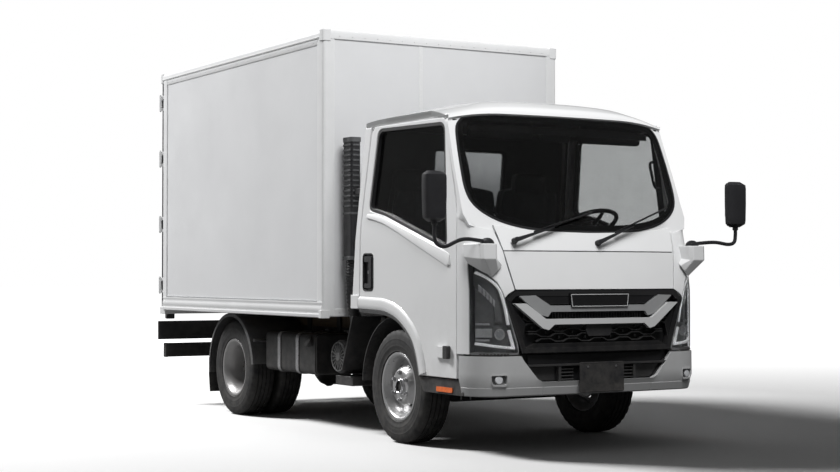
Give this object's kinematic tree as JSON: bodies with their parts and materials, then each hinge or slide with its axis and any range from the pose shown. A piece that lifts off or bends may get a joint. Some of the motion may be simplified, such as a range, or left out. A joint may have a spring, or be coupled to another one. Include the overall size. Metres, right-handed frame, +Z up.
{
  "type": "delivery truck",
  "caption": "Light cab-over delivery truck with a white closed van body: steering front wheels, dual rear wheels, tilting cab, opening doors and hinged rear cargo doors.",
  "frame": {"origin": "on the ground under the middle of the truck's bounding box", "axes": "-Y forwards, +Y rearwards, +Z up, +X the vehicle's left"},
  "size_m": [2.41, 4.85, 2.722],
  "materials": {
    "white_paint": "gloss white enamel",
    "black_plastic": "textured black",
    "chassis_black": "satin black frame paint",
    "glass": "tinted",
    "rubber": "matte tread rubber",
    "wheel_silver": "silver wheel paint",
    "body_panel": "smooth white composite panel",
    "aluminium": "satin extrusion",
    "grille_black": "gloss black",
    "lamp": "smoked clear lens",
    "seat_fabric": "woven dark grey",
    "cast_alloy": "rough cast",
    "steel": "bare steel",
    "grey_plastic": "matte grey",
    "floor_wood": "sealed plywood"
  },
  "bodies": {
    "chassis": {"ladder_frame": "chassis_black", "front_axle": "chassis_black", "rear_axle": "chassis_black", "leaf_spring_front_right": "chassis_black", "leaf_spring_front_left": "chassis_black", "leaf_spring_rear_right": "chassis_black", "leaf_spring_rear_left": "chassis_black", "engine_gearbox": "cast_alloy", "fuel_tank": "chassis_black", "air_cleaner": "black_plastic", "front_bumper": "white_paint", "box_floor": "floor_wood", "box_front_wall": "body_panel", "box_right_wall": "body_panel", "box_left_wall": "body_panel", "box_roof": "aluminium", "mudguard_right": "grey_plastic", "mudguard_left": "grey_plastic"},
    "cab": {"cab_floor": "chassis_black", "cab_back_wall": "white_paint", "cab_roof": "white_paint", "cab_front": "white_paint", "windscreen": "glass", "grille": "grille_black", "headlamp_right": "lamp", "headlamp_left": "lamp", "dashboard": "black_plastic", "driver_seat": "seat_fabric", "passenger_seat": "seat_fabric", "intake_duct": "black_plastic"},
    "front_lid": {"front_lid": "white_paint"},
    "steering_wheel": {"steering_wheel": "black_plastic"},
    "door_right": {"door_right": "white_paint"},
    "door_glass_right": {"door_glass_right": "glass"},
    "door_handle_right": {"door_handle_right": "black_plastic"},
    "mirror_arm_right": {"mirror_arm_right": "black_plastic"},
    "mirror_head_right": {"mirror_head_right": "black_plastic"},
    "wiper_right": {"wiper_right": "black_plastic"},
    "knuckle_right": {"knuckle_right": "steel"},
    "front_wheel_right": {"front_rim_right": "wheel_silver", "front_tyre_right": "rubber"},
    "rear_wheel_right": {"rear_rim_right": "wheel_silver", "rear_tyre_right_inner": "rubber", "rear_tyre_right_outer": "rubber"},
    "cargo_door_right": {"cargo_door_right": "body_panel"},
    "lock_rod_right": {"lock_rod_right": "steel"},
    "door_left": {"door_left": "white_paint"},
    "door_glass_left": {"door_glass_left": "glass"},
    "door_handle_left": {"door_handle_left": "black_plastic"},
    "mirror_arm_left": {"mirror_arm_left": "black_plastic"},
    "mirror_head_left": {"mirror_head_left": "black_plastic"},
    "wiper_left": {"wiper_left": "black_plastic"},
    "knuckle_left": {"knuckle_left": "steel"},
    "front_wheel_left": {"front_rim_left": "wheel_silver", "front_tyre_left": "rubber"},
    "rear_wheel_left": {"rear_rim_left": "wheel_silver", "rear_tyre_left_inner": "rubber", "rear_tyre_left_outer": "rubber"},
    "cargo_door_left": {"cargo_door_left": "body_panel"},
    "lock_rod_left": {"lock_rod_left": "steel"}
  },
  "joints": [
    {"name": "cab_tilt", "type": "hinge", "parent": "chassis", "child": "cab", "pos_m": [0, -2.385, 0.52], "axis": [1, 0, 0], "range_deg": [0, 45]},
    {"name": "steer", "type": "hinge", "parent": "chassis", "child": "knuckle_right", "pos_m": [-0.6, -1.375, 0.36], "axis": [0, 0, 1], "range_deg": [-35, 35]},
    {"name": "steer_left", "type": "hinge", "parent": "chassis", "child": "knuckle_left", "pos_m": [0.6, -1.375, 0.36], "axis": [0, 0, 1], "range_deg": [-35, 35]},
    {"name": "steering_wheel_turn", "type": "hinge", "parent": "cab", "child": "steering_wheel", "pos_m": [0.42, -1.735, 1.395], "axis": [0, 0.45, 0.893], "range_deg": [-525, 525]},
    {"name": "front_wheel_spin_right", "type": "hinge", "parent": "knuckle_right", "child": "front_wheel_right", "pos_m": [-0.715, -1.375, 0.36], "axis": [1, 0, 0], "continuous": true},
    {"name": "rear_wheel_spin_right", "type": "hinge", "parent": "chassis", "child": "rear_wheel_right", "pos_m": [-0.63, 1.1, 0.36], "axis": [1, 0, 0], "continuous": true},
    {"name": "door_open_right", "type": "hinge", "parent": "cab", "child": "door_right", "pos_m": [-0.835, -2.115, 0.9], "axis": [0, 0, 1], "range_deg": [0, 70]},
    {"name": "window_drop_right", "type": "slide", "parent": "door_right", "child": "door_glass_right", "axis": [-0.0486, 0, -0.9988], "range_m": [0, 0.28]},
    {"name": "handle_pull_right", "type": "hinge", "parent": "door_right", "child": "door_handle_right", "pos_m": [-0.8395, -1.111, 1.085], "axis": [0, 0, 1], "range_deg": [0, 25], "stiffness_Nm_per_rad": 0.6, "springref_deg": -8.59},
    {"name": "mirror_fold_right", "type": "hinge", "parent": "cab", "child": "mirror_arm_right", "pos_m": [-0.77, -2.36, 1.262], "axis": [0, 0, 1], "range_deg": [-50, 20]},
    {"name": "mirror_turn_right", "type": "hinge", "parent": "mirror_arm_right", "child": "mirror_head_right", "pos_m": [-1.13, -2.36, 1.52], "axis": [0, 0, 1], "range_deg": [-20, 20]},
    {"name": "cargo_door_open_right", "type": "hinge", "parent": "chassis", "child": "cargo_door_right", "pos_m": [-0.97, 2.295, 1.7], "axis": [0, 0, 1], "range_deg": [0, 250]},
    {"name": "lock_rod_turn_right", "type": "hinge", "parent": "cargo_door_right", "child": "lock_rod_right", "pos_m": [-0.1, 2.328, 1.3], "axis": [0, 0, -1], "range_deg": [0, 90]},
    {"name": "front_wheel_spin_left", "type": "hinge", "parent": "knuckle_left", "child": "front_wheel_left", "pos_m": [0.715, -1.375, 0.36], "axis": [1, 0, 0], "continuous": true},
    {"name": "rear_wheel_spin_left", "type": "hinge", "parent": "chassis", "child": "rear_wheel_left", "pos_m": [0.63, 1.1, 0.36], "axis": [1, 0, 0], "continuous": true},
    {"name": "door_open_left", "type": "hinge", "parent": "cab", "child": "door_left", "pos_m": [0.835, -2.115, 0.9], "axis": [0, 0, -1], "range_deg": [0, 70]},
    {"name": "window_drop_left", "type": "slide", "parent": "door_left", "child": "door_glass_left", "axis": [0.0486, 0, -0.9988], "range_m": [0, 0.28]},
    {"name": "handle_pull_left", "type": "hinge", "parent": "door_left", "child": "door_handle_left", "pos_m": [0.8395, -1.111, 1.085], "axis": [0, 0, -1], "range_deg": [0, 25], "stiffness_Nm_per_rad": 0.6, "springref_deg": -8.59},
    {"name": "mirror_fold_left", "type": "hinge", "parent": "cab", "child": "mirror_arm_left", "pos_m": [0.77, -2.36, 1.262], "axis": [0, 0, -1], "range_deg": [-50, 20]},
    {"name": "mirror_turn_left", "type": "hinge", "parent": "mirror_arm_left", "child": "mirror_head_left", "pos_m": [1.13, -2.36, 1.52], "axis": [0, 0, 1], "range_deg": [-20, 20]},
    {"name": "cargo_door_open_left", "type": "hinge", "parent": "chassis", "child": "cargo_door_left", "pos_m": [0.97, 2.295, 1.7], "axis": [0, 0, -1], "range_deg": [0, 250]},
    {"name": "lock_rod_turn_left", "type": "hinge", "parent": "cargo_door_left", "child": "lock_rod_left", "pos_m": [0.1, 2.328, 1.3], "axis": [0, 0, 1], "range_deg": [0, 90]},
    {"name": "wiper_sweep", "type": "hinge", "parent": "cab", "child": "wiper_left", "pos_m": [0.045, -2.343, 1.26], "axis": [0, -0.9435, 0.3315], "range_deg": [0, 75]},
    {"name": "wiper_sweep_right", "type": "hinge", "parent": "cab", "child": "wiper_right", "pos_m": [-0.56, -2.333, 1.268], "axis": [0, -0.9435, 0.3315], "range_deg": [0, 75]},
    {"name": "front_lid_open", "type": "hinge", "parent": "cab", "child": "front_lid", "pos_m": [0, -2.362, 1.2085], "axis": [-1, 0, 0], "range_deg": [0, 60]}
  ],
  "couplings": [
    {"joint": "steer_left", "follows": "steer", "ratio": 1},
    {"joint": "steering_wheel_turn", "follows": "steer", "ratio": 15},
    {"joint": "wiper_sweep_right", "follows": "wiper_sweep", "ratio": 1}
  ]
}
